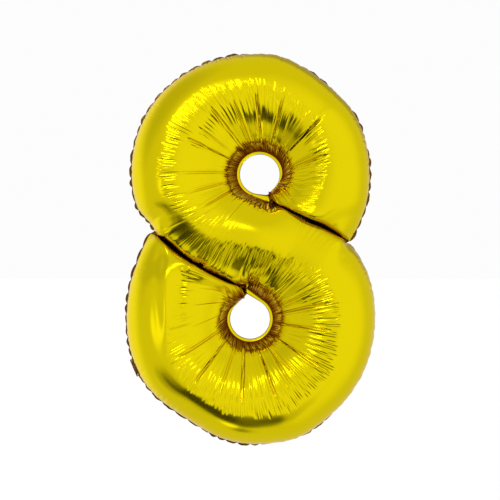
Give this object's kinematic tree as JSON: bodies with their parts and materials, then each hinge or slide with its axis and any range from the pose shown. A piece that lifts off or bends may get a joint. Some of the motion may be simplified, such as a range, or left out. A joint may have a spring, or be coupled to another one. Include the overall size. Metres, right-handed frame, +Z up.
{
  "type": "foil number balloon",
  "caption": "Inflated metallised-film balloon shaped as the figure eight: front and rear panels, weld bands, self-sealing valve and a hinged fill tail.",
  "frame": {"origin": "centre of the overall box, on the weld plane between the front and rear panels", "axes": "+Z up the figure, +X to the right seen from the front, -Y is the front face"},
  "size_m": [0.5579, 0.1632, 0.86],
  "materials": {
    "foil": "mirror-like lemon-gold metallised film",
    "foil_weld": "satin lemon-gold film, both layers fused flat",
    "valve_film": "clear to milky polyethylene film",
    "release_print": "thin heat-proof print"
  },
  "bodies": {
    "balloon": {"front_film": "foil", "rear_film": "foil", "perimeter_weld": "foil_weld", "upper_eye_weld": "foil_weld", "lower_eye_weld": "foil_weld", "upper_cross_weld": "foil_weld", "lower_cross_weld": "foil_weld", "valve_front_film": "valve_film", "valve_rear_film": "valve_film", "valve_release_print": "release_print"},
    "tail": {"tail_front_layer": "foil", "tail_rear_layer": "foil", "tail_upper_side_weld": "foil_weld", "tail_lower_side_weld": "foil_weld", "tail_ear_weld": "foil_weld", "tail_valve_sleeve": "valve_film"}
  },
  "joints": [
    {"name": "tail_fold", "type": "hinge", "parent": "balloon", "child": "tail", "pos_m": [-0.25516, 0, -0.25931], "axis": [-0.3907, 0, 0.9205], "range_deg": [0, 150]}
  ]
}
